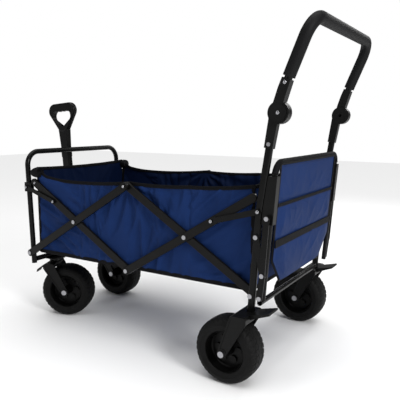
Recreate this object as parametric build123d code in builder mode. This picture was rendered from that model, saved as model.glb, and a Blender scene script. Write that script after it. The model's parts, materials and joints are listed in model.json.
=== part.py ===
from build123d import *
from math import atan2, cos, degrees, hypot, radians, sin
import os

# Folding beach cart. Millimetres, +Z up, front (pull handle) towards -X, rear
# (push handle) towards +X, left side towards -Y. The sizes below count X from a
# line near the middle of the basket; finish() then moves every piece back by
# middle_shift, which puts the origin on the ground under the middle of the
# whole cart, pull handle included.

os.makedirs("parts", exist_ok=True)

SIDES = ((-1, "left"), (1, "right"))
BOTH = (-1, 1)

# ---------------------------------------------------------------- driving sizes
wheel_radius = 99.5
tyre_width = 86
hub_radius = 62
hub_bosses = 6
hub_boss_circle = 33           # radius of the circle that the round bosses stand on
hub_boss_radius = 11
hub_boss_reach = 12
axle_radius = 6
running_clearance = 0.05

middle_shift = 26

rear_pivot_x = 425            # lower pivot of the rear inner arms, on the posts
low_pivot_z = 266             # the three lower scissor pivots
half_run = 231.5              # from one scissor pivot to the next, along X
half_rise = 142               # and along Z

arm_height = 26
arm_thickness = 9
arm_wall = 1.6
inner_arm_y = 251             # inner face of the inner arms
outer_arm_y = 262             # inner face of the outer arms
pin_radius = 4

post_y = 274
post_width = 21               # along X
post_depth = 16               # along Y
post_foot_z = 206
post_bend = (445.5, 515)
post_top = (476, 722)         # inside the push handle's lower sleeves

rear_axle_x = 366
rear_wheel_y = 287
caster_x = -496
caster_y = 160
caster_trail = 60
caster_rest_turn = {"left": 24.6, "right": 2.5}

leg_y = 251
leg_radius = 9.5
leg_foot_x = -501
leg_foot_z = 224
hoop_top_x = -516
hoop_top_z = 645

knob_x = 499.5
knob_z = 782.5
knob_radius = 30
sleeve_y = 278
sleeve_depth = 26
handle_lean = 22.4            # the push handle's lean behind upright
handle_bolt = (516.5, 860)
handle_length = 178           # from the sleeve bolt to the crossbar's centre
grip_radius = 17
handle_tube_radius = 11

pull_pivot_x = -534
pull_pivot_z = 238
pull_lean = -4.8              # the pull handle leans forward of upright
pull_length = 538             # from its pivot to the middle of the D-grip

basket_front_x = -478
basket_rear_x = 420
basket_y = 246
floor_top_z = 276
rim_z = 566

# --------------------------------------------------------------- derived places
rear_cross_x = rear_pivot_x - half_run
middle_x = rear_cross_x - half_run
front_cross_x = middle_x - half_run
front_pivot_x = front_cross_x - half_run
cross_z = low_pivot_z + half_rise
top_pivot_z = cross_z + half_rise
arm_angle = degrees(atan2(half_rise, half_run))
arm_reach = hypot(half_run, half_rise)

inner_arm_out = inner_arm_y + arm_thickness
outer_arm_out = outer_arm_y + arm_thickness


def finish(piece, node):
    """Move a finished piece to the cart's middle, label it and write its STEP file."""
    placed = piece.part.moved(Location((middle_shift, 0, 0)))
    placed.label = node
    export_step(placed, f"parts/{node}.step")


def side_plane(y):
    """The XZ plane at a given Y; a sketch on it has X right and Z up."""
    return Plane.XZ.offset(-y)


def outward(side, length):
    """The extrude amount that goes away from the middle of the cart."""
    return -side * length


def along_post(z):
    """X of the post's centre line at a height."""
    foot_x = 426 - (post_bend[0] - 426) * (219 - z) / (post_bend[1] - 219)
    if z <= post_bend[1]:
        return foot_x
    rise = (z - post_bend[1]) / (post_top[1] - post_bend[1])
    return post_bend[0] + (post_top[0] - post_bend[0]) * rise


def tilted_plane(origin, lean):
    """A plane across the cart: local X along +Y, local Y up, leaning by lean degrees."""
    return Plane(origin=origin, x_dir=(0, 1, 0), z_dir=(cos(radians(lean)), 0, -sin(radians(lean))))


def add_pin(side, x, z, steps):
    """A turned pin along Y, made of (start |y|, end |y|, radius) steps."""
    for start, end, radius in steps:
        with BuildSketch(side_plane(side * start)) as step:
            with Locations((x, z)):
                Circle(radius)
        extrude(step.sketch, amount=outward(side, end - start))


def cut_hole(side, x, z, start, end, radius):
    """A round hole along Y between two |y| values."""
    with BuildSketch(side_plane(side * start)) as hole:
        with Locations((x, z)):
            Circle(radius)
    extrude(hole.sketch, amount=outward(side, end - start), mode=Mode.SUBTRACT)


# ------------------------------------------------------------------ scissor arms
def scissor_arm(node, side, y_in, low, high, holes, low_over=0, high_over=0):
    """A pressed steel channel from low to high, open towards the basket.

    low_over and high_over lengthen (or shorten) it past the two points.
    """
    angle = atan2(high[1] - low[1], high[0] - low[0])
    start = (low[0] - low_over * cos(angle), low[1] - low_over * sin(angle))
    end = (high[0] + high_over * cos(angle), high[1] + high_over * sin(angle))
    middle = ((start[0] + end[0]) / 2, (start[1] + end[1]) / 2)
    length = hypot(end[0] - start[0], end[1] - start[1])
    with BuildPart() as arm:
        with BuildSketch(side_plane(side * y_in)):
            with Locations(middle):
                SlotCenterToCenter(length, arm_height, rotation=degrees(angle))
        extrude(amount=outward(side, arm_thickness))
        outer_face = arm.faces().filter_by(Axis.Y).sort_by(Axis.Y)[0 if side < 0 else -1]
        fillet(outer_face.edges(), 2)
        with BuildSketch(side_plane(side * y_in)):
            with Locations(middle):
                SlotCenterToCenter(length, arm_height - 2 * arm_wall, rotation=degrees(angle))
        extrude(amount=outward(side, arm_thickness - arm_wall), mode=Mode.SUBTRACT)
        for hole in holes:
            cut_hole(side, hole[0], hole[1], y_in, y_in + arm_thickness, pin_radius + running_clearance)
    finish(arm, node)


rear_low = (rear_pivot_x, low_pivot_z)
rear_cross = (rear_cross_x, cross_z)
top_middle = (middle_x, top_pivot_z)
low_middle = (middle_x, low_pivot_z)
front_cross = (front_cross_x, cross_z)
front_low = (front_pivot_x, low_pivot_z)
front_high = (front_pivot_x, top_pivot_z)
rear_high = (rear_pivot_x, top_pivot_z)

for side, word in SIDES:
    scissor_arm(f"rear_inner_arm_{word}", side, inner_arm_y, rear_low, top_middle, [rear_low, rear_cross])
    scissor_arm(f"rear_outer_arm_{word}", side, outer_arm_y, low_middle, rear_high,
                [low_middle, rear_cross], high_over=-4)
    scissor_arm(f"front_inner_arm_{word}", side, inner_arm_y, low_middle, front_high,
                [low_middle, front_cross], high_over=-28)
    scissor_arm(f"front_outer_arm_{word}", side, outer_arm_y, front_low, top_middle,
                [front_low, front_cross])


def end_plug(side, y_in, centre, towards):
    """A moulded plug that fills an arm's hollow at its end, with a rounded nose.

    towards is the other end of the arm.
    """
    angle = degrees(atan2(towards[1] - centre[1], towards[0] - centre[0]))
    with BuildSketch(side_plane(side * (y_in - 1.4))) as plug:
        with Locations(Location((centre[0], centre[1], 0), (0, 0, angle))):
            Circle(arm_height / 2 - arm_wall - 0.1)
            with Locations((14, 0)):
                Rectangle(28, arm_height - 2 * arm_wall - 0.2)
    extrude(plug.sketch, amount=outward(side, 4))


def arm_plugs(node, y_in, ends):
    """The plugs of one pair of arms, left and right."""
    with BuildPart() as plugs:
        for side in BOTH:
            for centre, towards, holed in ends:
                end_plug(side, y_in, centre, towards)
                if holed:
                    cut_hole(side, centre[0], centre[1], y_in - 2, y_in + 4, 8.5)
        if node == "front_outer_plugs":
            for side in BOTH:
                add_pin(side, middle_x, top_pivot_z,
                        [(outer_arm_out + 0.1, outer_arm_out + 3.5, 13),
                         (outer_arm_out + 3.5, outer_arm_out + 6, 7)])
    finish(plugs, node)


arm_direction = (cos(radians(arm_angle)), sin(radians(arm_angle)))


def past(point, distance, rising):
    """A point moved along an arm; rising arms go up towards +X, the others towards -X."""
    turn = 1 if rising else -1
    return (point[0] + turn * distance * arm_direction[0], point[1] + distance * arm_direction[1])


arm_plugs("rear_inner_plugs", inner_arm_y, [(rear_low, rear_cross, True), (top_middle, rear_cross, False)])
arm_plugs("rear_outer_plugs", outer_arm_y, [(low_middle, rear_cross, True),
                                            (past(rear_high, -4, True), rear_cross, False)])
arm_plugs("front_inner_plugs", inner_arm_y, [(low_middle, front_cross, True),
                                             (past(front_high, -28, False), front_cross, False)])
arm_plugs("front_outer_plugs", outer_arm_y, [(front_low, front_cross, True),
                                             (top_middle, front_cross, False)])


web_in = inner_arm_out - arm_wall
web_out = outer_arm_out - arm_wall


def cross_pin_steps():
    """A shouldered rivet that joins an inner arm to an outer arm."""
    return [(web_in - 3, web_in - 0.1, 7), (web_in - 0.1, inner_arm_out + 0.1, pin_radius),
            (inner_arm_out + 0.1, web_out - 0.1, 8), (web_out - 0.1, outer_arm_out + 0.1, pin_radius),
            (outer_arm_out + 0.1, outer_arm_out + 2.6, 7)]


for node, place in (("rear_cross_rivets", rear_cross), ("lower_joint_rivets", low_middle),
                    ("front_cross_rivets", front_cross)):
    with BuildPart() as rivets:
        for side in BOTH:
            add_pin(side, place[0], place[1], cross_pin_steps())
    finish(rivets, node)

# ------------------------------------------------------------------- rear frame
stay_top = (along_post(440), 440)
stay_elbow = (464.5, 334)
stay_foot = (457, 266)
bracket_pin = (475, 497)
link_post_pin = (along_post(513), 513)
rear_hoop_foot = (460, 258)
rear_hoop_top = (489.5, 649)
rear_hoop_y = 269
rear_hoop_radius = 7.5
rear_hoop_lean = degrees(atan2(rear_hoop_top[0] - rear_hoop_foot[0], rear_hoop_top[1] - rear_hoop_foot[1]))

for side, word in SIDES:
    with BuildPart() as post:
        with BuildLine(side_plane(side * post_y)) as post_path:
            FilletPolyline((along_post(post_foot_z), post_foot_z), post_bend, post_top, radius=300)
        with BuildSketch(Plane(origin=post_path.line @ 0, x_dir=(0, 1, 0), z_dir=post_path.line % 0)):
            RectangleRounded(post_depth, post_width, 6)
            RectangleRounded(post_depth - 2 * arm_wall, post_width - 2 * arm_wall, 4.4, mode=Mode.SUBTRACT)
        sweep()
        for hole in (rear_low, stay_top, link_post_pin):
            cut_hole(side, hole[0], hole[1], post_y - 12, post_y + 12, pin_radius + running_clearance)
    finish(post, f"rear_post_{word}")

with BuildPart() as rear_hoop:
    hoop_height = hypot(rear_hoop_top[0] - rear_hoop_foot[0], rear_hoop_top[1] - rear_hoop_foot[1])
    with BuildLine(tilted_plane((rear_hoop_foot[0], 0, rear_hoop_foot[1]), rear_hoop_lean)) as hoop_path:
        FilletPolyline((-rear_hoop_y, 0), (-rear_hoop_y, hoop_height), (rear_hoop_y, hoop_height),
                       (rear_hoop_y, 0), radius=38)
    with BuildSketch(Plane(origin=hoop_path.line @ 0, z_dir=hoop_path.line % 0)):
        Circle(rear_hoop_radius)
        Circle(rear_hoop_radius - 1.5, mode=Mode.SUBTRACT)
    sweep()
finish(rear_hoop, "rear_hoop")

cross_tube_x = 437
cross_tube_z = 235
with BuildPart() as rear_cross_tube:
    with BuildSketch(Plane.XZ.offset(-post_y + post_depth / 2 + 26)):
        with Locations((cross_tube_x, cross_tube_z)):
            Circle(8)
            Circle(6.4, mode=Mode.SUBTRACT)
    extrude(amount=2 * (post_y - post_depth / 2 - 26))
finish(rear_cross_tube, "rear_cross_tube")


def channel_link(side, y_in, start, end, height, thickness):
    """A flat link with rounded ends between two points."""
    middle = ((start[0] + end[0]) / 2, (start[1] + end[1]) / 2)
    length = hypot(end[0] - start[0], end[1] - start[1])
    angle = degrees(atan2(end[1] - start[1], end[0] - start[0]))
    with BuildSketch(side_plane(side * y_in)) as link:
        with Locations(middle):
            SlotCenterToCenter(length, height, rotation=angle)
    extrude(link.sketch, amount=outward(side, thickness))


stay_y = post_y + post_depth / 2 + 0.4
with BuildPart() as stays:
    for side in BOTH:
        channel_link(side, stay_y, stay_top, stay_elbow, 20, 3)
        channel_link(side, stay_y + 3.2, stay_elbow, stay_foot, 18, 3)
        channel_link(side, stay_y + 6.4, bracket_pin, stay_elbow, 18, 3)
        for point in (stay_top, stay_elbow, stay_foot, bracket_pin):
            cut_hole(side, point[0], point[1], stay_y - 1, stay_y + 11, pin_radius + running_clearance)
finish(stays, "rear_stays")

bracket_heights = (478, post_bend[1], 612)
bracket_gap = 1.5
hoop_direction = (sin(radians(rear_hoop_lean)), 0, cos(radians(rear_hoop_lean)))


def along_hoop(z):
    """X of the rear hoop's legs at a height."""
    return rear_hoop_foot[0] + (z - rear_hoop_foot[1]) * hoop_direction[0] / hoop_direction[2]


bracket_front = [(along_post(z) + post_width / 2 + bracket_gap, z) for z in bracket_heights]
bracket_rear = [(along_hoop(z) + 12, z) for z in reversed(bracket_heights)]
with BuildPart() as brackets:
    for side in BOTH:
        with BuildSketch(side_plane(side * (rear_hoop_y - 11))):
            with BuildLine():
                Polyline(*bracket_front, *bracket_rear, close=True)
            make_face()
        extrude(amount=outward(side, 22))
        cut_hole(side, bracket_pin[0], bracket_pin[1], rear_hoop_y + 8, rear_hoop_y + 12,
                 pin_radius + running_clearance)
        with BuildSketch(Plane(origin=(rear_hoop_foot[0], side * rear_hoop_y, rear_hoop_foot[1]),
                               z_dir=hoop_direction)):
            Circle(rear_hoop_radius + 0.2)
        extrude(amount=420, mode=Mode.SUBTRACT)
finish(brackets, "post_brackets")

# rear forks: a crown under each post and an arm on each side of the wheel
fork_inside = 47
fork_arm = 6.5


def fork_arm_outline(axle_x, crown_x, crown_z, crown_length):
    """The tapered outline of a fork arm, from its round axle eye to its crown."""
    with Locations((axle_x, wheel_radius)):
        Circle(14)
    with Locations((crown_x, crown_z)):
        RectangleRounded(crown_length, 24, 8)
    make_hull()


for side, word in SIDES:
    wheel_y = side * rear_wheel_y
    with BuildPart() as rear_fork:
        for face in (-1, 1):
            inner = wheel_y + face * fork_inside
            with BuildSketch(side_plane(inner)):
                fork_arm_outline(rear_axle_x, 416, 208, 52)
            extrude(amount=-face * fork_arm)
            with BuildSketch(side_plane(inner + face * fork_arm)) as recess:
                fork_arm_outline(rear_axle_x, 416, 208, 52)
                offset(amount=-4.5, mode=Mode.REPLACE)
                with Locations((rear_axle_x, wheel_radius)):
                    Circle(16, mode=Mode.SUBTRACT)
            extrude(amount=face * 1.6, mode=Mode.SUBTRACT)
            with BuildSketch(side_plane(inner)):
                with Locations((rear_axle_x, wheel_radius)):
                    Circle(axle_radius + running_clearance)
            extrude(amount=-face * (fork_arm + 2), mode=Mode.SUBTRACT)
        with BuildSketch(side_plane(wheel_y + fork_inside)):
            with Locations((416, 208)):
                RectangleRounded(52, 24, 8)
        extrude(amount=2 * fork_inside)
        with BuildSketch(side_plane(side * (post_y - 24))):
            with BuildLine():
                Polyline((430, 219.5), (498, 236), (500, 231), (436, 206), (430, 219.5))
            make_face()
        extrude(amount=outward(side, 62))
        with BuildSketch(side_plane(wheel_y + fork_inside - 0.5)):
            with Locations((rear_axle_x, wheel_radius)):
                Circle(wheel_radius + 5)
        extrude(amount=2 * fork_inside - 1, mode=Mode.SUBTRACT)
        with BuildSketch(Plane.XY.offset(post_foot_z - 1.3)):
            with Locations((along_post(post_foot_z) + 0.7, side * post_y)):
                RectangleRounded(post_width + 3.6, post_depth + 0.6, 6)
        extrude(amount=40, mode=Mode.SUBTRACT)
    finish(rear_fork, f"rear_fork_{word}")

# lower halves of the folding joints of the push handle, round the tops of the posts
sleeve_in = sleeve_y - sleeve_depth / 2
sleeve_out = sleeve_y + sleeve_depth / 2


sleeve_bolt = (along_post(699), 699)
post_lean = atan2(post_top[0] - post_bend[0], post_top[1] - post_bend[1])
lower_arm_in = post_y - 9.5
lower_arm_out = post_y + 9.5
with BuildPart() as lower_sleeves:
    for side in BOTH:
        with BuildSketch(side_plane(side * lower_arm_in)):
            with Locations((along_post(691), 691)):
                Rectangle(25, 6, rotation=-degrees(post_lean))
            with Locations((knob_x - 15, knob_z - 13)):
                Circle(14)
            make_hull()
        extrude(amount=outward(side, lower_arm_out - lower_arm_in))
        with BuildSketch(side_plane(side * sleeve_in)):
            with Locations((knob_x, knob_z)):
                Circle(knob_radius)
        extrude(amount=outward(side, sleeve_depth / 2 - 0.3))
        cut_hole(side, knob_x, knob_z, sleeve_y - 0.3, sleeve_out + 1, knob_radius + 1)
        cut_hole(side, knob_x, knob_z, sleeve_in - 2, sleeve_out, 5 + running_clearance)
        with BuildSketch(Plane(origin=(post_top[0] - 60 * sin(post_lean), side * post_y,
                                       post_top[1] - 60 * cos(post_lean)),
                               x_dir=(0, 1, 0), z_dir=(sin(post_lean), 0, cos(post_lean)))):
            RectangleRounded(post_depth + 0.4, post_width + 0.4, 6)
        extrude(amount=61, mode=Mode.SUBTRACT)
finish(lower_sleeves, "lower_handle_sleeves")

# zinc fasteners of the rear frame: pivots, rivets, wheel bolts and sleeve bolts
post_in = post_y - post_depth / 2
post_out = post_y + post_depth / 2
with BuildPart() as rear_fasteners:
    for side in BOTH:
        add_pin(side, rear_pivot_x, low_pivot_z,
                [(web_in - 3, web_in - 0.1, 7), (web_in - 0.1, inner_arm_out + 0.1, pin_radius),
                 (inner_arm_out + 0.1, post_in - 0.1, 8), (post_in - 0.1, post_out + 0.1, pin_radius),
                 (post_out + 0.1, post_out + 2.8, 7)])
        add_pin(side, stay_top[0], stay_top[1],
                [(post_in - 2, post_in - 0.1, 7), (post_in - 0.1, stay_y + 3.1, pin_radius),
                 (stay_y + 3.1, stay_y + 5.6, 6.5)])
        add_pin(side, stay_foot[0], stay_foot[1],
                [(stay_y - 1.6, stay_y - 0.1, 6.5), (stay_y - 0.1, stay_y + 6.3, pin_radius),
                 (stay_y + 6.3, stay_y + 8.8, 6.5)])
        add_pin(side, stay_elbow[0], stay_elbow[1],
                [(stay_y - 1.6, stay_y - 0.1, 6.5), (stay_y - 0.1, stay_y + 9.5, pin_radius),
                 (stay_y + 9.5, stay_y + 12, 6.5)])
        add_pin(side, bracket_pin[0], bracket_pin[1],
                [(rear_hoop_y + 8.5, stay_y + 9.5, pin_radius), (stay_y + 9.5, stay_y + 12, 6.5)])
        add_pin(side, sleeve_bolt[0], sleeve_bolt[1],
                [(lower_arm_out, lower_arm_out + 2.5, 5.5)])
        wheel_out = rear_wheel_y + fork_inside + fork_arm
        wheel_in = rear_wheel_y - fork_inside - fork_arm
        add_pin(side, rear_axle_x, wheel_radius,
                [(wheel_in - 5, wheel_in - 0.1, 9.5), (wheel_in - 0.1, wheel_out + 0.1, axle_radius),
                 (wheel_out + 0.1, wheel_out + 5, 9.5)])
finish(rear_fasteners, "rear_fasteners")


# ----------------------------------------------------------------------- wheels
def wheel(word, prefix, centre_x, centre_y, turn):
    """A balloon tyre and its moulded hub, turned about the vertical by turn degrees."""
    placed = Plane.XZ.rotated((0, 0, turn))
    wheel_plane = Plane(origin=(centre_x, centre_y, wheel_radius), x_dir=placed.x_dir, z_dir=placed.z_dir)
    half = tyre_width / 2
    shoulder = wheel_radius - 20
    crown = wheel_radius - 1
    profile = Plane(origin=wheel_plane.origin, x_dir=wheel_plane.z_dir, z_dir=(-wheel_plane.x_dir))
    spin = Axis(wheel_plane.origin, wheel_plane.z_dir)
    with BuildPart() as tyre:
        with BuildSketch(profile):
            with BuildLine():
                Polyline((-half + 8, hub_radius), (-half, hub_radius + 8), (-half, shoulder))
                ThreePointArc((-half, shoulder), (-half + 7, shoulder + 13.5), (-half + 22, crown))
                ThreePointArc((-half + 22, crown), (0, wheel_radius), (half - 22, crown))
                ThreePointArc((half - 22, crown), (half - 7, shoulder + 13.5), (half, shoulder))
                Polyline((half, shoulder), (half, hub_radius + 8), (half - 8, hub_radius),
                         (-half + 8, hub_radius))
            make_face()
        revolve(axis=spin)
    finish(tyre, f"{prefix}_tyre_{word}")
    with BuildPart() as hub:
        with BuildSketch(profile):
            with BuildLine():
                Polyline((-half + 8, hub_radius), (-half + 6, hub_radius - 3), (-10, hub_radius - 5),
                         (-6, hub_radius - 9), (-6, 18), (-half - 2.5, 15),
                         (-half - 2.5, axle_radius + running_clearance),
                         (half + 2.5, axle_radius + running_clearance), (half + 2.5, 15),
                         (6, 18), (6, hub_radius - 9), (10, hub_radius - 5),
                         (half - 6, hub_radius - 3), (half - 8, hub_radius), (-half + 8, hub_radius))
            make_face()
        revolve(axis=spin)
        with BuildSketch(wheel_plane.offset(-hub_boss_reach)):
            with PolarLocations(hub_boss_circle, hub_bosses):
                Circle(hub_boss_radius)
        extrude(amount=2 * hub_boss_reach)
    finish(hub, f"{prefix}_hub_{word}")


for side, word in SIDES:
    wheel(word, "rear", rear_axle_x, side * rear_wheel_y, 0)

# ---------------------------------------------------------------------- casters
crown_z = 199
crown_top = 211
caster_neck_top = 226
for side, word in SIDES:
    turn = caster_rest_turn[word]
    stem = Plane(origin=(caster_x, side * caster_y, 0),
                 x_dir=(cos(radians(turn)), sin(radians(turn)), 0), z_dir=(0, 0, 1))
    across = Plane(origin=stem.origin, x_dir=stem.x_dir, z_dir=-stem.y_dir)
    with BuildPart() as fork:
        for face in (-1, 1):
            with BuildSketch(across.offset(face * fork_inside)):
                fork_arm_outline(caster_trail, 0, crown_z, 44)
            extrude(amount=face * fork_arm)
            with BuildSketch(across.offset(face * (fork_inside + fork_arm))):
                fork_arm_outline(caster_trail, 0, crown_z, 44)
                offset(amount=-4.5, mode=Mode.REPLACE)
                with Locations((caster_trail, wheel_radius)):
                    Circle(16, mode=Mode.SUBTRACT)
            extrude(amount=-face * 1.6, mode=Mode.SUBTRACT)
        with BuildSketch(across.offset(-fork_inside)):
            with Locations((0, crown_z)):
                RectangleRounded(44, 24, 8)
        extrude(amount=2 * fork_inside)
        with BuildSketch(across.offset(-fork_inside + 0.5)):
            with Locations((caster_trail, wheel_radius)):
                Circle(wheel_radius + 5)
        extrude(amount=2 * fork_inside - 1, mode=Mode.SUBTRACT)
        with BuildSketch(across.offset(-fork_inside - fork_arm - 1)):
            with Locations((caster_trail, wheel_radius)):
                Circle(axle_radius + running_clearance)
        extrude(amount=2 * (fork_inside + fork_arm + 1), mode=Mode.SUBTRACT)
        with BuildSketch(stem.offset(crown_z)):
            Circle(axle_radius)
        extrude(amount=caster_neck_top - crown_z)
        with BuildSketch(across.offset(-9)):
            with Locations((-26, crown_z - 6)):
                RectangleRounded(14, 12, 4)
        extrude(amount=18)
        with BuildSketch(across.offset(-10)):
            with Locations((-29, crown_z - 7)):
                Circle(3 + running_clearance)
        extrude(amount=20, mode=Mode.SUBTRACT)
    finish(fork, f"caster_fork_{word}")

    bolt_end = fork_inside + fork_arm
    with BuildPart() as caster_axle:
        for start, end, radius in ((-bolt_end - 5, -bolt_end - 0.1, 9.5),
                                   (-bolt_end - 0.1, bolt_end + 0.1, axle_radius),
                                   (bolt_end + 0.1, bolt_end + 5, 9.5)):
            with BuildSketch(across.offset(start)):
                with Locations((caster_trail, wheel_radius)):
                    Circle(radius)
            extrude(amount=end - start)
    finish(caster_axle, f"caster_axle_{word}")

    with BuildPart() as pedal:
        with BuildSketch(across.offset(-17)):
            with BuildLine():
                Polyline((-25, crown_z + 1), (-36, crown_z - 1), (-62, crown_z - 20), (-66, crown_z - 31),
                         (-60, crown_z - 30), (-57, crown_z - 23), (-33, crown_z - 7), (-30, crown_z - 13),
                         (-24, crown_z - 13), (-25, crown_z + 1))
            make_face()
        extrude(amount=34)
        with BuildSketch(across.offset(-9.4)):
            with Locations((-24, crown_z - 6)):
                Rectangle(26, 24)
        extrude(amount=18.8, mode=Mode.SUBTRACT)
        with BuildSketch(across.offset(-17)):
            with Locations((-29, crown_z - 7)):
                Circle(3)
        extrude(amount=34)
    finish(pedal, f"brake_pedal_{word}")

    wheel(word, "caster", caster_x + caster_trail * cos(radians(turn)),
          side * caster_y + caster_trail * sin(radians(turn)), turn)

# ------------------------------------------------------------------ front frame
hoop_lean = degrees(atan2(hoop_top_x - leg_foot_x, hoop_top_z - leg_foot_z))
with BuildPart() as front_hoop:
    front_height = hypot(hoop_top_x - leg_foot_x, hoop_top_z - leg_foot_z)
    with BuildLine(tilted_plane((leg_foot_x, 0, leg_foot_z), hoop_lean)) as front_path:
        FilletPolyline((-leg_y, 0), (-leg_y, front_height), (leg_y, front_height), (leg_y, 0), radius=52)
    with BuildSketch(Plane(origin=front_path.line @ 0, z_dir=front_path.line % 0)):
        Circle(leg_radius)
        Circle(leg_radius - 1.6, mode=Mode.SUBTRACT)
    sweep()
    for side in BOTH:
        cut_hole(side, front_pivot_x, low_pivot_z, leg_y - 12, leg_y + 12, pin_radius + running_clearance)
finish(front_hoop, "front_hoop")

front_tube_z = 238
with BuildPart() as front_cross_tube:
    with BuildSketch(side_plane(leg_y - leg_radius - 0.1)):
        with Locations((leg_foot_x, front_tube_z)):
            Circle(leg_radius)
            Circle(leg_radius - 1.6, mode=Mode.SUBTRACT)
    extrude(amount=2 * (leg_y - leg_radius - 0.1))
finish(front_cross_tube, "front_cross_tube")

front_link_pin = (hoop_top_x + 5, 515)
clamp_top = 532
with BuildPart() as clamps:
    for side in BOTH:
        with BuildSketch(Plane.XY.offset(498)):
            with Locations((front_link_pin[0], side * leg_y)):
                RectangleRounded(34, 21, 6)
                Circle(leg_radius + 1.0, mode=Mode.SUBTRACT)
        extrude(amount=clamp_top - 498)
finish(clamps, "leg_clamps")

leg_in = leg_y - leg_radius
leg_out = leg_y + leg_radius
with BuildPart() as front_fasteners:
    for side in BOTH:
        add_pin(side, front_pivot_x, low_pivot_z,
                [(leg_in - 3, leg_in - 0.1, 7), (leg_in - 0.1, leg_out + 0.1, pin_radius),
                 (leg_out + 0.1, web_out - 0.1, 8), (web_out - 0.1, outer_arm_out + 0.1, pin_radius),
                 (outer_arm_out + 0.1, outer_arm_out + 2.6, 7)])
finish(front_fasteners, "front_pivot_rivets")

with BuildPart() as sockets:
    for side in BOTH:
        with BuildSketch(Plane.XY.offset(crown_top + 1)):
            with Locations((caster_x, side * caster_y)):
                Circle(15)
        extrude(amount=front_tube_z - leg_radius - crown_top - 1 - 0.1)
        with BuildSketch(Plane.XY.offset(front_tube_z - leg_radius - 3.1)):
            with Locations((caster_x + 8, side * caster_y)):
                RectangleRounded(66, 58, 8)
        extrude(amount=3)
        with BuildSketch(Plane.XY.offset(crown_top)):
            with Locations((caster_x, side * caster_y)):
                Circle(axle_radius + running_clearance)
        extrude(amount=caster_neck_top + 0.8 - crown_top, mode=Mode.SUBTRACT)
finish(sockets, "caster_sockets")

pull_half_width = 21          # along X
pull_half_depth = 11          # along Y
with BuildPart() as pull_bracket:
    for face in (-1, 1):
        with BuildSketch(side_plane(face * (pull_half_depth + 0.6))):
            with Locations((pull_pivot_x, pull_pivot_z)):
                Circle(12)
            with Locations((leg_foot_x, front_tube_z)):
                Circle(14)
            make_hull()
            with Locations((leg_foot_x, front_tube_z)):
                Circle(leg_radius + 0.1, mode=Mode.SUBTRACT)
        extrude(amount=-face * 4)
    add_pin(1, pull_pivot_x, pull_pivot_z, [(-pull_half_depth - 8, -pull_half_depth - 0.6, 7),
                                            (-pull_half_depth - 0.6, pull_half_depth + 0.6, 5),
                                            (pull_half_depth + 0.6, pull_half_depth + 8, 7)])
finish(pull_bracket, "pull_handle_bracket")

# ------------------------------------------------------------------------ links
link_y = post_out + 0.4
rear_link_end = (rear_cross_x + 103.5, cross_z + 103.5 * half_rise / half_run)
with BuildPart() as rear_links:
    for side in BOTH:
        channel_link(side, link_y, link_post_pin, rear_link_end, 17, 4)
        add_pin(side, link_post_pin[0], link_post_pin[1],
                [(post_in - 2, post_in - 0.1, 7), (post_in - 0.1, link_y + 4, pin_radius),
                 (link_y + 4, link_y + 6.4, 6.5)])
        add_pin(side, rear_link_end[0], rear_link_end[1],
                [(outer_arm_out + 0.6, link_y, 7), (link_y, link_y + 6.4, 6.5)])
finish(rear_links, "rear_links")

front_link_y = leg_y + leg_radius + 1.4
front_link_end = (front_cross_x - 103.5, cross_z + 103.5 * half_rise / half_run)
with BuildPart() as front_links:
    for side in BOTH:
        channel_link(side, front_link_y, front_link_pin, front_link_end, 15, 4)
        for point in (front_link_pin, front_link_end):
            add_pin(side, point[0], point[1], [(front_link_y + 4, front_link_y + 6.4, 6)])
finish(front_links, "front_links")

# ------------------------------------------------------------------ push handle
lean = radians(handle_lean)
handle_origin = (handle_bolt[0] - 26 * sin(lean), 0, handle_bolt[1] - 26 * cos(lean))
handle_plane = tilted_plane(handle_origin, handle_lean)
handle_rise = handle_length + 26
bend_radius = 58
foam_start = 42
with BuildPart() as handle_tube:
    with BuildLine(handle_plane) as tube_path:
        FilletPolyline((-sleeve_y, 0), (-sleeve_y, handle_rise), (sleeve_y, handle_rise), (sleeve_y, 0),
                       radius=bend_radius)
    with BuildSketch(Plane(origin=tube_path.line @ 0, z_dir=tube_path.line % 0)):
        Circle(handle_tube_radius)
        Circle(handle_tube_radius - 1.6, mode=Mode.SUBTRACT)
    sweep()
finish(handle_tube, "push_handle_tube")

with BuildPart() as grip:
    with BuildLine(handle_plane) as grip_path:
        FilletPolyline((-sleeve_y, foam_start), (-sleeve_y, handle_rise), (sleeve_y, handle_rise),
                       (sleeve_y, foam_start), radius=bend_radius)
    with BuildSketch(Plane(origin=grip_path.line @ 0, z_dir=grip_path.line % 0)):
        Circle(grip_radius)
        Circle(handle_tube_radius + 0.1, mode=Mode.SUBTRACT)
    sweep()
finish(grip, "push_handle_grip")

with BuildPart() as upper_sleeves:
    sleeve_top = (handle_bolt[0] + 10 * sin(lean), handle_bolt[1] + 10 * cos(lean))
    for side in BOTH:
        with BuildSketch(side_plane(side * sleeve_in)):
            with Locations((handle_bolt[0] - 4 * sin(lean), handle_bolt[1] - 4 * cos(lean))):
                Rectangle(25.4, 28, rotation=-handle_lean)
            with Locations((knob_x - 5, knob_z + 10)):
                Circle(14)
            make_hull()
        extrude(amount=outward(side, sleeve_depth))
        cut_hole(side, knob_x, knob_z, sleeve_in - 1, sleeve_y + 0.3, knob_radius + 1)
        with BuildSketch(side_plane(side * (sleeve_y + 0.3))):
            with Locations((knob_x, knob_z)):
                Circle(knob_radius)
        extrude(amount=outward(side, sleeve_depth / 2 - 1.3))
        with BuildSketch(side_plane(side * (sleeve_out - 1))):
            with Locations((knob_x, knob_z)):
                Circle(knob_radius - 6)
        extrude(amount=outward(side, 2.4))
        with BuildSketch(Plane(origin=(handle_origin[0], side * sleeve_y, handle_origin[2]),
                               x_dir=(0, 1, 0), z_dir=(sin(lean), 0, cos(lean)))):
            Circle(handle_tube_radius + 0.1)
        extrude(amount=80, mode=Mode.SUBTRACT)
finish(upper_sleeves, "upper_handle_sleeves")

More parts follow.
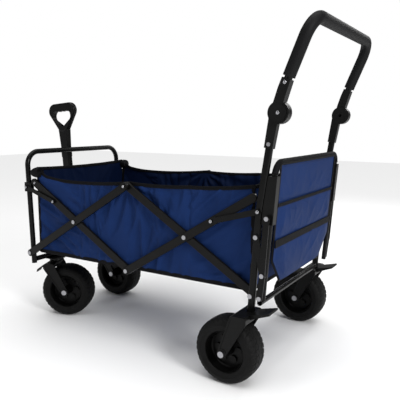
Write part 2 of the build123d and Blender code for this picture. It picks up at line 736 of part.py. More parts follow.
# ------------------------------------------------------------------ pull handle
pull = radians(pull_lean)
pull_up = (sin(pull), 0, cos(pull))


def pull_plane(distance):
    """A plane across the pull handle, at a distance from its pivot."""
    origin = (pull_pivot_x + distance * sin(pull), 0, pull_pivot_z + distance * cos(pull))
    return Plane(origin=origin, x_dir=(0, 1, 0), z_dir=pull_up)


outer_tube_top = 398
tube_foot = 9                 # short enough to swing past the cross tube
with BuildPart() as outer_tube:
    with BuildSketch(pull_plane(-tube_foot)):
        RectangleRounded(2 * pull_half_depth, 2 * pull_half_width, 7)
        RectangleRounded(2 * pull_half_depth - 3.2, 2 * pull_half_width - 3.2, 5.4, mode=Mode.SUBTRACT)
    extrude(amount=outer_tube_top + tube_foot)
    with BuildSketch(pull_plane(outer_tube_top - 22)):
        RectangleRounded(2 * pull_half_depth + 3, 2 * pull_half_width + 3, 8)
        RectangleRounded(2 * pull_half_depth - 3.2, 2 * pull_half_width - 3.2, 5.4, mode=Mode.SUBTRACT)
    extrude(amount=25)
    with BuildSketch(side_plane(-pull_half_depth - 1)):
        with Locations((pull_pivot_x, pull_pivot_z)):
            Circle(5 + running_clearance)
    extrude(amount=-2 * pull_half_depth - 2, mode=Mode.SUBTRACT)
finish(outer_tube, "pull_tube_outer")

grip_neck = 403
with BuildPart() as inner_tube:
    with BuildSketch(pull_plane(70)):
        RectangleRounded(2 * pull_half_depth - 3.6, 2 * pull_half_width - 3.6, 5.2)
        RectangleRounded(2 * pull_half_depth - 6.4, 2 * pull_half_width - 6.4, 3.8, mode=Mode.SUBTRACT)
    extrude(amount=grip_neck + 20 - 70)
finish(inner_tube, "pull_tube_inner")

d_plane = Plane(origin=pull_plane(pull_length).origin, x_dir=(cos(pull), 0, -sin(pull)), z_dir=(0, -1, 0))
d_thickness = 25
with BuildPart() as d_grip:
    with BuildSketch(d_plane.offset(-d_thickness / 2)):
        with Locations((-41, 27), (41, 27)):
            Circle(31)
        with Locations((0, -27)):
            Circle(34)
        make_hull()
    extrude(amount=d_thickness)
    fillet(d_grip.faces().filter_by(Axis.Y).edges(), 8)
    with BuildSketch(pull_plane(grip_neck)) as neck_foot:
        RectangleRounded(2 * pull_half_depth, 2 * pull_half_width, 7)
    with BuildSketch(pull_plane(grip_neck + 86)) as neck_head:
        RectangleRounded(d_thickness - 2, 56, 9)
    loft([neck_foot.sketch.face(), neck_head.sketch.face()])
    with BuildSketch(d_plane.offset(-d_thickness / 2)):
        with Locations((-30, 6), (30, 6)):
            Circle(22)
        with Locations((0, -16)):
            Circle(21)
        make_hull()
        with Locations((-21, 32), (0, 32), (21, 32)):
            Circle(7.6, mode=Mode.SUBTRACT)
    extrude(amount=d_thickness, mode=Mode.SUBTRACT)
    with BuildSketch(pull_plane(grip_neck - 1)):
        RectangleRounded(2 * pull_half_depth - 3.2, 2 * pull_half_width - 3.2, 5.4)
    extrude(amount=22, mode=Mode.SUBTRACT)
finish(d_grip, "pull_grip")

# -------------------------------------------------------------------- soft goods
cloth = 3
with BuildPart() as floor:
    with BuildSketch(Plane.XY.offset(floor_top_z - 6)):
        with Locations(((basket_front_x + basket_rear_x) / 2, 0)):
            RectangleRounded(basket_rear_x - basket_front_x - 2 * cloth - 2, 2 * (basket_y - cloth) - 1, 14)
    extrude(amount=6)
finish(floor, "basket_floor")

for side, word in SIDES:
    with BuildPart() as wall:
        with BuildSketch(side_plane(side * (basket_y - cloth))):
            with BuildLine():
                Polyline((basket_front_x + 12, floor_top_z - 6), (basket_rear_x - 6, floor_top_z - 6),
                         (basket_rear_x - 6, rim_z + 12), (middle_x, rim_z - 6),
                         (basket_front_x + 60, rim_z - 8),
                         (basket_front_x + 12, rim_z + 20), (basket_front_x + 12, floor_top_z - 6))
            make_face()
        extrude(amount=outward(side, cloth))
    finish(wall, f"basket_side_{word}")

with BuildPart() as front_panel:
    with BuildSketch(Plane.YZ.offset(basket_front_x)):
        with Locations((0, (floor_top_z - 6 + rim_z + 20) / 2)):
            RectangleRounded(2 * (basket_y - 8), rim_z + 20 - floor_top_z + 6, 16)
    extrude(amount=cloth)
finish(front_panel, "front_panel")

panel_half = 246
with BuildPart() as rear_panel:
    with BuildSketch(Plane.YZ.offset(basket_rear_x - cloth)):
        with Locations((0, (floor_top_z - 6 + rim_z + 12) / 2)):
            Rectangle(2 * (basket_y - 5), rim_z + 12 - floor_top_z + 6)
    extrude(amount=cloth)
finish(rear_panel, "rear_wall")

with BuildPart() as pockets:
    with BuildSketch(tilted_plane((rear_hoop_foot[0] + 2, 0, rear_hoop_foot[1]), rear_hoop_lean)):
        with Locations((0, 208)):
            RectangleRounded(2 * panel_half, 340, 20)
    extrude(amount=10)
finish(pockets, "rear_pocket_panel")
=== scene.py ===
import json
import math

import bpy
import numpy as np
from mathutils import Matrix, Vector, noise


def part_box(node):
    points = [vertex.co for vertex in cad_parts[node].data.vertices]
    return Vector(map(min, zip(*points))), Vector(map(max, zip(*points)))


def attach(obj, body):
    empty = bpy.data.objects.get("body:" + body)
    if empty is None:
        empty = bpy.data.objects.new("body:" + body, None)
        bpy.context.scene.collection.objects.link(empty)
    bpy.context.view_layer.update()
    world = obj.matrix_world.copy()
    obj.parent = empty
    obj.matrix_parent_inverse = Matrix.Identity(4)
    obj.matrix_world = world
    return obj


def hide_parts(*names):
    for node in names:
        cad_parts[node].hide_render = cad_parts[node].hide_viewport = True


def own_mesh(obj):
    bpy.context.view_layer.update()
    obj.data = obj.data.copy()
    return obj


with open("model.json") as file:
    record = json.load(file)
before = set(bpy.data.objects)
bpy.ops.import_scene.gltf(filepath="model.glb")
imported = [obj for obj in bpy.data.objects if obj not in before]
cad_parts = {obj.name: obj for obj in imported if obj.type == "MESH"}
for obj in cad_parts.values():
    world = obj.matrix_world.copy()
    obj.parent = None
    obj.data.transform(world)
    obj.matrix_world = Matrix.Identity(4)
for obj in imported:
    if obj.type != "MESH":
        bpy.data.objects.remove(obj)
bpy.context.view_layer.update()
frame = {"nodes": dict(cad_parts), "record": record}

# Folding beach cart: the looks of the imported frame. Metres, +Z up, front (pull handle)
# towards -X, rear (push handle) towards +X, left side towards -Y.

SIDES = ((-1, "left"), (1, "right"))

# ------------------------------------------------------------------ driving sizes
MIDDLE_X = -0.012             # the top middle pivots
BASKET_FRONT = -0.4475
BASKET_REAR = 0.442
BASKET_Y = 0.2445             # the sides hang just inside the arms
FLOOR_Z = 0.272
RIM = ((BASKET_FRONT, 0.582), (-0.400, 0.560), (-0.314, 0.550),
       (MIDDLE_X, 0.562), (0.219, 0.564), (BASKET_REAR, 0.581))
RIM_SAG = 0.018               # for each metre between two ties
FRONT_X = -0.4485             # the two end walls
WALL_X = 0.4425
END_HALF = 0.2435
FRONT_RIM = 0.589
FRONT_SAG = 0.006
WALL_RIM = 0.580

TAPE_WIDTH = 0.012
TAPE_THICK = 0.0018
RIM_TAPE_THICK = 0.003        # rims have two layers of tape
TAPE_INSET = 0.004            # from a cloth's edge to the middle of its tape
SEAM_INSET = 0.0045           # from there to the stitches
SEAM_LIFT = 0.0011

HOOP_FOOT = (0.486, 0.258)    # the rear hoop's plane, in X and Z
HOOP_TOP = (0.5155, 0.649)
HOOP_Y = 0.269
HOOP_CORNER = 0.038

CASTER_TURN = {"left": 24.6, "right": 2.5}
WHEEL_RADIUS = 0.0995
TREAD_LUGS = 34

INSIDE_PAINTED_SHADE = 0.3             # painted shade: how dark the cloth's inner face is painted, against its outer one


# ---------------------------------------------------------------------- materials
class Paint:
    """A Principled material with a few procedural helpers."""

    def __init__(self, name, color, roughness, metallic=0.0, shine=0.5):
        self.material = bpy.data.materials.new(name)
        self.material.use_nodes = True
        self.nodes = self.material.node_tree.nodes
        self.links = self.material.node_tree.links
        self.shader = self.nodes["Principled BSDF"]
        self.shader.inputs["Base Color"].default_value = (*color, 1)
        self.shader.inputs["Roughness"].default_value = roughness
        self.shader.inputs["Metallic"].default_value = metallic
        self.shader.inputs["Specular IOR Level"].default_value = shine
        self.place = self.nodes.new("ShaderNodeTexCoord").outputs["Object"]
        self.height = None

    def noise(self, scale, detail=3.0, stretch=(1, 1, 1)):
        """Noise over the object, stretched along the axes with the smaller numbers."""
        mapping = self.nodes.new("ShaderNodeMapping")
        mapping.inputs["Scale"].default_value = stretch
        self.links.new(self.place, mapping.inputs["Vector"])
        texture = self.nodes.new("ShaderNodeTexNoise")
        texture.inputs["Scale"].default_value = scale
        texture.inputs["Detail"].default_value = detail
        self.links.new(mapping.outputs["Vector"], texture.inputs["Vector"])
        return texture.outputs["Fac"]

    def ramp(self, factor, stops):
        """A colour ramp from (position, colour) stops."""
        ramp = self.nodes.new("ShaderNodeValToRGB")
        elements = ramp.color_ramp.elements
        while len(elements) < len(stops):
            elements.new(0.5)
        for element, (position, color) in zip(elements, stops):
            element.position = position
            element.color = (*color, 1)
        self.links.new(factor, ramp.inputs["Fac"])
        return ramp.outputs["Color"]

    def math(self, operation, first, second):
        """One Math node; each input is a socket or a number."""
        node = self.nodes.new("ShaderNodeMath")
        node.operation = operation
        for socket, value in zip(node.inputs, (first, second)):
            if isinstance(value, (int, float)):
                socket.default_value = value
            else:
                self.links.new(value, socket)
        return node.outputs["Value"]

    def color(self, socket):
        self.links.new(socket, self.shader.inputs["Base Color"])

    def vary_roughness(self, factor, low, high):
        """Roughness from low to high, following a factor."""
        spread = self.nodes.new("ShaderNodeMapRange")
        spread.inputs["To Min"].default_value = low
        spread.inputs["To Max"].default_value = high
        self.links.new(factor, spread.inputs["Value"])
        self.links.new(spread.outputs["Result"], self.shader.inputs["Roughness"])

    def bump(self, height, distance, strength=1.0):
        """Adds a bump of a height in metres to the ones before it."""
        bump = self.nodes.new("ShaderNodeBump")
        bump.inputs["Distance"].default_value = distance
        bump.inputs["Strength"].default_value = strength
        self.links.new(height, bump.inputs["Height"])
        if self.height:
            self.links.new(self.height, bump.inputs["Normal"])
        self.height = bump.outputs["Normal"]
        self.links.new(self.height, self.shader.inputs["Normal"])

    def weave(self, axes, pitch):
        """Plain weave: yarns along two axes of the object, one over the other by turns."""
        split = self.nodes.new("ShaderNodeSeparateXYZ")
        self.links.new(self.place, split.inputs["Vector"])
        waves = []
        for axis in axes:
            turned = self.math("MULTIPLY", split.outputs[axis], math.pi / pitch)
            waves.append(self.math("SINE", turned, 0.0))
        over = self.math("MULTIPLY", waves[0], waves[1])
        return self.math("ADD", self.math("MULTIPLY", over, 0.5), 0.5)

    def painted_shade_inside(self, tone):
        """The tone, with painted shade on the back of a sheet: its inner face is darkened."""
        back = self.nodes.new("ShaderNodeNewGeometry").outputs["Backfacing"]
        keep = self.math("ADD", self.math("MULTIPLY", back, INSIDE_PAINTED_SHADE - 1), 1.0)
        toned = self.nodes.new("ShaderNodeVectorMath")
        toned.operation = "SCALE"
        self.links.new(tone, toned.inputs[0])
        self.links.new(keep, toned.inputs["Scale"])
        return toned.outputs["Vector"]


def shade(color, share):
    """A colour made darker or lighter."""
    return tuple(share * c for c in color)


def cloth_paint(name, axes, dark, light, pitch=0.0011):
    """Coated oxford cloth, woven along two axes, with painted shade on its inner face."""
    paint = Paint(name, light, 0.62, shine=0.05)
    weave = paint.weave(axes, pitch)
    yarn = paint.noise(420.0, 2.0)
    wash = paint.noise(9.0, 4.0)
    mixed = paint.math("ADD", paint.math("MULTIPLY", weave, 0.35), paint.math("MULTIPLY", wash, 0.65))
    # painted shade: the cloth's inner face is darkened
    paint.color(paint.painted_shade_inside(paint.ramp(mixed, ((0.25, dark), (0.75, light)))))
    paint.vary_roughness(wash, 0.5, 0.7)
    paint.bump(weave, 0.00016, 0.8)
    paint.bump(yarn, 0.0001, 0.6)
    paint.shader.inputs["Sheen Weight"].default_value = 0.01
    paint.shader.inputs["Sheen Roughness"].default_value = 0.4
    return paint.material


def steel_paint(name, color, roughness):
    """Powder-coated steel: a fine orange peel, and slightly worn gloss."""
    paint = Paint(name, color, roughness, shine=0.11)
    peel = paint.noise(900.0, 2.0)
    wear = paint.noise(26.0, 5.0)
    paint.color(paint.ramp(wear, ((0.3, shade(color, 0.75)), (0.7, shade(color, 1.3)))))
    paint.vary_roughness(wear, roughness - 0.06, roughness + 0.1)
    paint.bump(peel, 0.00006, 0.5)
    paint.shader.inputs["Coat Weight"].default_value = 0.04
    paint.shader.inputs["Coat Roughness"].default_value = 0.2
    return paint.material


def plastic_paint(name, color, roughness):
    """Moulded plastic with a spark-eroded grain."""
    paint = Paint(name, color, roughness, shine=0.14)
    grain = paint.noise(1500.0, 3.0)
    flow = paint.noise(14.0, 3.0)
    paint.color(paint.ramp(flow, ((0.3, shade(color, 0.8)), (0.7, shade(color, 1.25)))))
    paint.vary_roughness(flow, roughness - 0.05, roughness + 0.08)
    paint.bump(grain, 0.00005, 0.6)
    return paint.material


def rubber_paint():
    paint = Paint("tyre_rubber", (0.005, 0.005, 0.005), 0.5, shine=0.14)
    dust = paint.noise(55.0, 6.0)
    paint.color(paint.ramp(dust, ((0.35, (0.002, 0.002, 0.002)), (0.75, (0.006, 0.006, 0.006)))))
    paint.vary_roughness(dust, 0.5, 0.75)
    paint.bump(paint.noise(1100.0, 3.0), 0.00008, 0.5)
    return paint.material


def foam_paint():
    paint = Paint("foam", (0.004, 0.004, 0.005), 0.6, shine=0.14)
    cells = paint.noise(750.0, 5.0)
    paint.color(paint.ramp(cells, ((0.35, (0.002, 0.002, 0.002)), (0.7, (0.007, 0.007, 0.008)))))
    paint.bump(cells, 0.0003, 0.6)
    paint.bump(paint.noise(60.0, 3.0), 0.0008, 0.3)
    return paint.material


def zinc_paint():
    paint = Paint("zinc", (0.36, 0.36, 0.38), 0.34, 1.0)
    brushed = paint.noise(240.0, 4.0, (1, 1, 4))
    paint.vary_roughness(brushed, 0.2, 0.42)
    paint.bump(brushed, 0.00004, 0.5)
    return paint.material


def tape_paint(name, axes, color):
    """Ribbed polyester binding tape."""
    paint = Paint(name, color, 0.7, shine=0.1)
    ribs = paint.weave(axes, 0.0008)
    paint.color(paint.ramp(ribs, ((0.2, shade(color, 0.55)), (0.8, shade(color, 1.3)))))
    paint.bump(ribs, 0.0002, 0.8)
    return paint.material


NAVY_DARK = (0.006, 0.019, 0.078)
NAVY_LIGHT = (0.010, 0.029, 0.112)
BLACK_TAPE = (0.003, 0.003, 0.004)
cloth_side = cloth_paint("navy_side", ("X", "Z"), NAVY_DARK, NAVY_LIGHT)
cloth_end = cloth_paint("navy_end", ("Y", "Z"), NAVY_DARK, NAVY_LIGHT)
cloth_flat = cloth_paint("navy_flat", ("X", "Y"), NAVY_DARK, NAVY_LIGHT)
tape_side = tape_paint("tape_side", ("X", "Z"), BLACK_TAPE)
tape_end = tape_paint("tape_end", ("Y", "Z"), BLACK_TAPE)
thread = tape_paint("thread", ("X", "Z"), (0.03, 0.03, 0.034))
rubber = rubber_paint()
zinc = zinc_paint()

SLOT_PAINT = {
    "frame_steel": steel_paint("frame_steel", (0.003, 0.003, 0.003), 0.24),
    "arm_steel": steel_paint("arm_steel", (0.004, 0.0038, 0.0036), 0.3),
    "pull_tube_steel": steel_paint("pull_tube_steel", (0.003, 0.003, 0.003), 0.26),
    "black_plastic": plastic_paint("black_plastic", (0.003, 0.003, 0.003), 0.36),
    "hub_plastic": plastic_paint("hub_plastic", (0.002, 0.002, 0.002), 0.4),
    "zinc": zinc,
    "tyre_rubber": rubber,
    "foam": foam_paint(),
    "navy_cloth": cloth_flat,
}
for part in frame["record"]["subparts"]:
    for slot in frame["nodes"][part["node"]].material_slots:
        slot.material = SLOT_PAINT[part["material_slot"]]


# ------------------------------------------------------------------- mesh helpers
def solid(name, points, faces, paint):
    """A smooth object with one material, linked to the scene."""
    mesh = bpy.data.meshes.new(name)
    mesh.from_pydata(np.asarray(points, float).reshape(-1, 3).tolist(), [], faces)
    mesh.materials.append(paint)
    mesh.polygons.foreach_set("use_smooth", [True] * len(mesh.polygons))
    piece = bpy.data.objects.new(name, mesh)
    bpy.context.collection.objects.link(piece)
    return piece


def surface(name, points, paint, round_u=False, round_v=False, caps=False):
    """A smooth mesh from a grid of points; round_u and round_v close it on itself."""
    rows, columns = len(points), len(points[0])
    faces = []
    for i in range(rows if round_u else rows - 1):
        for j in range(columns if round_v else columns - 1):
            i2, j2 = (i + 1) % rows, (j + 1) % columns
            faces.append((i * columns + j, i2 * columns + j, i2 * columns + j2, i * columns + j2))
    if caps:
        faces.append(tuple(range(columns - 1, -1, -1)))
        faces.append(tuple((rows - 1) * columns + j for j in range(columns)))
    return solid(name, points, faces, paint)


def unit(vectors):
    """Vectors of length one."""
    vectors = np.asarray(vectors, float)
    return vectors / np.maximum(np.linalg.norm(vectors, axis=-1, keepdims=True), 1e-12)


def tape(name, path, out, width, thick, paint, corners=12):
    """A flat band with rounded edges along a path; out is the way its face looks."""
    path = np.asarray(path, float)
    along = unit(np.gradient(path, axis=0))
    out = unit(np.broadcast_to(out, path.shape))
    across = unit(np.cross(along, out))
    outline = []
    for k in range(corners):
        turn = 2 * math.pi * (k + 0.5) / corners
        flat, tall = math.cos(turn), math.sin(turn)
        outline.append((math.copysign(abs(flat) ** 0.45, flat) * width / 2,
                        math.copysign(abs(tall) ** 0.6, tall) * thick / 2))
    points = [[p + a * u + o * v for u, v in outline] for p, a, o in zip(path, across, out)]
    return surface(name, points, paint, round_v=True, caps=True)


def rod(name, path, radius, paint, sides=16):
    """A round tube along a path; radius is one number or one for each point."""
    path = np.asarray(path, float)
    radius = np.broadcast_to(radius, len(path))
    along = unit(np.gradient(path, axis=0))
    first = unit(np.cross(along, (0.0, 0.0, 1.0)) + 1e-6 * np.array((1.0, 0.0, 0.0)))
    second = np.cross(along, first)
    turns = [2 * math.pi * k / sides for k in range(sides)]
    points = [[p + r * (math.cos(t) * a + math.sin(t) * b) for t in turns]
              for p, r, a, b in zip(path, radius, first, second)]
    return surface(name, points, paint, round_v=True, caps=True)


def join(pieces):
    """Joins pieces into the first of them."""
    for piece in bpy.context.selected_objects:
        piece.select_set(False)
    for piece in pieces:
        piece.select_set(True)
    bpy.context.view_layer.objects.active = pieces[0]
    bpy.ops.object.join()
    return pieces[0]


# where the rings of one thread are along it, and how thick it is there
THREAD_RINGS = ((0.0, 0.2), (0.25, 1.0), (0.75, 1.0), (1.0, 0.2))


def stitches(name, path, out, lift, pitch=0.0046, length=0.0032, thick=0.00035, corners=5):
    """A row of short threads along a path, standing lift above it."""
    path = np.asarray(path, float)
    steps = np.linalg.norm(np.diff(path, axis=0), axis=1)
    reach = np.concatenate(([0.0], np.cumsum(steps)))
    out = unit(np.broadcast_to(out, path.shape))
    points, faces = [], []

    def at(distance):
        place = np.array([np.interp(distance, reach, path[:, k]) for k in range(3)])
        face = np.array([np.interp(distance, reach, out[:, k]) for k in range(3)])
        return place, unit(face)

    for n in range(int(reach[-1] / pitch)):
        start, face = at(n * pitch)
        end, _ = at(n * pitch + length)
        along = unit(end - start)
        across = np.cross(along, face)
        first = len(points)
        for share, fat in THREAD_RINGS:
            centre = start + (end - start) * share + face * (lift * (0.3 + 0.7 * fat))
            for k in range(corners):
                turn = 2 * math.pi * k / corners
                points.append(centre + thick * fat * (math.cos(turn) * across + math.sin(turn) * face))
        for ring in range(len(THREAD_RINGS) - 1):
            low = first + ring * corners
            for k in range(corners):
                k2 = (k + 1) % corners
                faces.append((low + k, low + k2, low + corners + k2, low + corners + k))
    return solid(name, points, faces, thread)


def smooth(x, low, high):
    """0 below low, 1 above high, and an eased rise between."""
    t = min(1.0, max(0.0, (x - low) / (high - low)))
    return t * t * (3 - 2 * t)


def crease(a, b, turn, fine, long, seed):
    """Ridged noise, from 0 to 1, whose ridges run along a direction in the cloth."""
    c, s = math.cos(math.radians(turn)), math.sin(math.radians(turn))
    along, across = a * c + b * s, b * c - a * s
    value = noise.noise(Vector((along / long, across / fine, seed)))
    return (1 - min(1.0, abs(value) * 2.4)) ** 2


# ------------------------------------------------------------------------- basket
def rim_z(x):
    """Height of a side's top edge, which hangs a little between its ties."""
    for (x0, z0), (x1, z1) in zip(RIM, RIM[1:]):
        if x <= x1:
            t = (x - x0) / (x1 - x0)
            return z0 + (z1 - z0) * t - 4 * t * (1 - t) * RIM_SAG * (x1 - x0)
    return RIM[-1][1]


def side_in(x, z):
    """How far the side cloth stands in from its flat place: folds that fan out from the
    top middle pivot, a slow billow, sharp creases, and a gathered hem."""
    top = rim_z(x)
    edge = smooth(z, FLOOR_Z, FLOOR_Z + 0.03) * smooth(top - z, 0.0, 0.03)
    edge *= smooth(x, BASKET_FRONT, BASKET_FRONT + 0.03) * smooth(BASKET_REAR - x, 0.0, 0.03)
    away = math.hypot(x - MIDDLE_X, z - 0.55)
    turn = math.atan2(x - MIDDLE_X, 0.56 - z)
    fan = math.sin(turn * 13 + 0.6) * math.exp(-away / 0.09) * smooth(away, 0.015, 0.05)
    billow = noise.noise(Vector((x * 4.2, z * 4.2, 3.1)))
    lean = 38 if x > 0.226 else -30 if x < -0.244 else 84
    long_creases = crease(x, z, lean, 0.045, 0.26, 1.7)
    patches = smooth(noise.noise(Vector((x * 6, z * 6, 9.0))), -0.1, 0.4)
    short_creases = crease(x, z, lean + 24, 0.022, 0.09, 5.2) * patches
    hem = crease(x, z, 2, 0.018, 0.3, 8.8) * math.exp(-((z - 0.302) / 0.018) ** 2)
    return 0.001 + edge * (0.004 + 0.012 * fan + 0.011 * billow - 0.013 * long_creases
                           - 0.007 * short_creases + 0.005 * hem)


def side_points(side, columns=190, rows=64):
    """Points of a side's cloth, front to rear and bottom to top."""
    points = []
    for i in range(columns):
        x = BASKET_FRONT + (BASKET_REAR - BASKET_FRONT) * i / (columns - 1)
        top = rim_z(x)
        column = []
        for j in range(rows):
            z = FLOOR_Z - 0.002 + (top - FLOOR_Z + 0.002) * j / (rows - 1)
            y = BASKET_Y - max(-0.0035, side_in(x * (1 if side < 0 else 0.96), z))
            column.append((x, side * y, z))
        points.append(column)
    return np.array(points)


def squashed(piece):
    """Hangs a piece of the basket on the rear frame, with a mesh of its own."""
    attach(piece, "rear_frame")
    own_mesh(piece)


for side, word in SIDES:
    out = (0, side, 0)
    points = side_points(side)
    wall = surface(f"basket_side_cloth_{word}", points[::-side], cloth_side)
    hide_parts(f"basket_side_{word}")
    top_edge = points[:, -1] - (0, 0, TAPE_INSET)
    low_edge = points[:, 0] + (0, 0, TAPE_INSET)
    front_edge = points[0, :] + (TAPE_INSET, 0, 0)
    rear_edge = points[-1, :] - (TAPE_INSET, 0, 0)
    rim_tape = tape(f"rim_tape_{word}", top_edge, out, TAPE_WIDTH, RIM_TAPE_THICK, tape_side)
    low_tape = tape(f"hem_tape_{word}", low_edge, out, TAPE_WIDTH + 0.002, TAPE_THICK, tape_side)
    front_tape = tape(f"front_edge_tape_{word}", front_edge, out, TAPE_WIDTH, TAPE_THICK, tape_side)
    rear_tape = tape(f"rear_edge_tape_{word}", rear_edge, out, TAPE_WIDTH, TAPE_THICK, tape_side)
    seam_paths = (top_edge - (0, 0, SEAM_INSET), low_edge + (0, 0, 0.0052),
                  front_edge + (SEAM_INSET, 0, 0), rear_edge - (SEAM_INSET, 0, 0))
    seam = join([stitches(f"seam_{word}_{n}", path, out, SEAM_LIFT) for n, path in enumerate(seam_paths)])
    for piece in (wall, rim_tape, low_tape, front_tape, rear_tape, seam):
        squashed(piece)


# end walls: a sheet between the front corners, and one between the rear posts
def end_points(x, inward, rim, billow, lean, fine, long, seeds, columns=90, rows=60):
    """Points of an end wall at x. Its folds stand inward, along X, and lean to the middle."""
    points = []
    for i in range(columns):
        y = -END_HALF + 2 * END_HALF * i / (columns - 1)
        column = []
        for j in range(rows):
            z = FLOOR_Z + (rim(y) - FLOOR_Z) * j / (rows - 1)
            edge = smooth(z, FLOOR_Z, FLOOR_Z + 0.04) * smooth(END_HALF - abs(y), 0.0, 0.04)
            wave = noise.noise(Vector((y * 5, z * 5, seeds[0])))
            folds = crease(y, z, lean if y > 0 else -lean, fine, long, seeds[1])
            column.append((x + inward * edge * (billow * wave + 0.0025 * folds), y, z))
        points.append(column)
    return np.array(points)


def end_wall(word, cloth, points, outward, node, body):
    """Dresses an end wall's cloth with a taped rim and hem."""
    out = (outward, 0, 0)
    rim = tape(f"{word}_rim_tape", points[:, -1] - (0, 0, TAPE_INSET), out, TAPE_WIDTH,
               RIM_TAPE_THICK, tape_end)
    hem = tape(f"{word}_hem_tape", points[:, 0] + (0, 0, TAPE_INSET), out, TAPE_WIDTH,
               TAPE_THICK, tape_end)
    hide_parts(node)
    for piece in (cloth, rim, hem):
        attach(piece, body)


front_points = end_points(FRONT_X, 1, lambda y: FRONT_RIM - FRONT_SAG * (1 - (y / END_HALF) ** 2),
                          0.006, 62, 0.04, 0.22, (12.0, 4.4))
front_cloth = surface("front_cloth", front_points[::-1], cloth_end)
end_wall("front", front_cloth, front_points, -1, "front_panel",
         "front_frame")
front_seam = stitches("front_seam", front_points[:, -1] - (0, 0, TAPE_INSET + SEAM_INSET), (-1, 0, 0),
                      SEAM_LIFT)
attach(front_seam, "front_frame")

wall_points = end_points(WALL_X, -1, lambda y: WALL_RIM, 0.005, 75, 0.05, 0.25, (31.0, 14.4))
rear_cloth = surface("rear_wall_cloth", wall_points, cloth_end)
end_wall("rear", rear_cloth, wall_points, 1, "rear_wall",
         "rear_frame")

# floor: four padded boards in cloth pockets, with a flat seam between each two
FLOOR_LOW, FLOOR_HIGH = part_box("basket_floor")
BOARDS = 4
BOARD_THICK = 0.007
BOARD_ROUND = 0.003
BOARD_VOXEL = 0.0055
BOARD_GAP = 0.012             # between the boards' ends and both sides together
SEAM = 0.016                  # the gap between two boards, with a strip of cloth under it
SEAM_OVERLAP = 0.006
STRIP_THICK = 0.0016
PUFF_PRESSURE = 4.0
PUFF_MOST = 0.004
PUFF_FRAMES = 20
board_length = (FLOOR_HIGH[0] - FLOOR_LOW[0] - (BOARDS - 1) * SEAM) / BOARDS
board_width = FLOOR_HIGH[1] - FLOOR_LOW[1] - BOARD_GAP


def board_mesh():
    """One board, centred on its own origin: a box with round corners."""
    bpy.ops.mesh.primitive_cube_add(size=1)
    board = bpy.context.object
    board.data.transform(Matrix.Diagonal((board_length - 2 * BOARD_ROUND, board_width - 2 * BOARD_ROUND,
                                           BOARD_THICK, 1)))
    bevel = board.modifiers.new("round", "BEVEL")
    bevel.width = BOARD_ROUND
    bevel.segments = 2
    remesh = board.modifiers.new("remesh", "REMESH")
    remesh.mode = "VOXEL"
    remesh.voxel_size = BOARD_VOXEL
    bpy.ops.object.convert(target="MESH")
    return board


def puffed(board, pressure, cap):
    """Swells a closed piece by cloth simulation, at most cap from where it was."""
    before = np.array([v.co for v in board.data.vertices])
    cloth = board.modifiers.new("cloth", "CLOTH")
    cloth.settings.use_pressure = True
    cloth.settings.uniform_pressure_force = pressure
    cloth.settings.effector_weights.gravity = 0
    cloth.settings.quality = 5
    scene = bpy.context.scene
    for step in range(1, PUFF_FRAMES + 1):
        scene.frame_set(step)
    after = board.evaluated_get(bpy.context.evaluated_depsgraph_get()).to_mesh()
    moved = np.array([v.co for v in after.vertices]) - before
    board.modifiers.clear()
    scene.frame_set(1)
    far = np.linalg.norm(moved, axis=1, keepdims=True)
    moved *= np.minimum(1.0, cap / np.maximum(far, 1e-9))
    board.data.vertices.foreach_set("co", (before + moved).ravel())
    board.data.update()


board = board_mesh()
puffed(board, PUFF_PRESSURE, PUFF_MOST)
board.data.polygons.foreach_set("use_smooth", [True] * len(board.data.polygons))
boards = []
for n in range(BOARDS):
    copy = bpy.data.objects.new(f"floor_board_{n}", board.data.copy())
    bpy.context.collection.objects.link(copy)
    middle = FLOOR_LOW[0] + board_length / 2 + n * (board_length + SEAM)
    copy.data.transform(Matrix.Translation((middle, 0, (FLOOR_LOW[2] + FLOOR_HIGH[2]) / 2)))
    copy.data.materials.clear()
    copy.data.materials.append(cloth_flat)
    boards.append(copy)
bpy.data.objects.remove(board)
for n in range(BOARDS - 1):
    middle = FLOOR_LOW[0] + (n + 1) * board_length + (n + 0.5) * SEAM
    path = [(middle, -board_width / 2 + board_width * k / 40, FLOOR_LOW[2] + 0.003) for k in range(41)]
    boards.append(tape(f"floor_hinge_{n}", path, (0, 0, 1), SEAM + SEAM_OVERLAP, STRIP_THICK, cloth_flat))
under = [(x, 0, FLOOR_LOW[2] + 0.0012) for x in np.linspace(BASKET_FRONT + 0.002, BASKET_REAR - 0.002, 60)]
boards.append(tape("floor_under", under, (0, 0, 1), 2 * BASKET_Y - 0.003, STRIP_THICK, cloth_flat))
floor = join(boards)
floor.name = "basket_floor_pad"
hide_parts("basket_floor")
squashed(floor)

# black pockets that hold the upper ends of the front inner arms
CORNER_REAR = (-0.426, 0.572)
CORNER_REACH = (-0.050, -0.004)
CORNER_Y = 0.2470
CORNER_RADIUS = 0.0190
for side, word in SIDES:
    path = []
    radius = []
    for t in np.linspace(0, 1, 25):
        path.append((CORNER_REAR[0] + CORNER_REACH[0] * t, side * CORNER_Y,
                     CORNER_REAR[1] + CORNER_REACH[1] * t))
        radius.append(CORNER_RADIUS * math.sin(math.pi * min(1.0, 0.30 + 0.66 * t)) ** 0.6)
    pocket = rod(f"corner_pocket_{word}", path, radius, tape_side, 28)
    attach(pocket, "front_inner_arms")

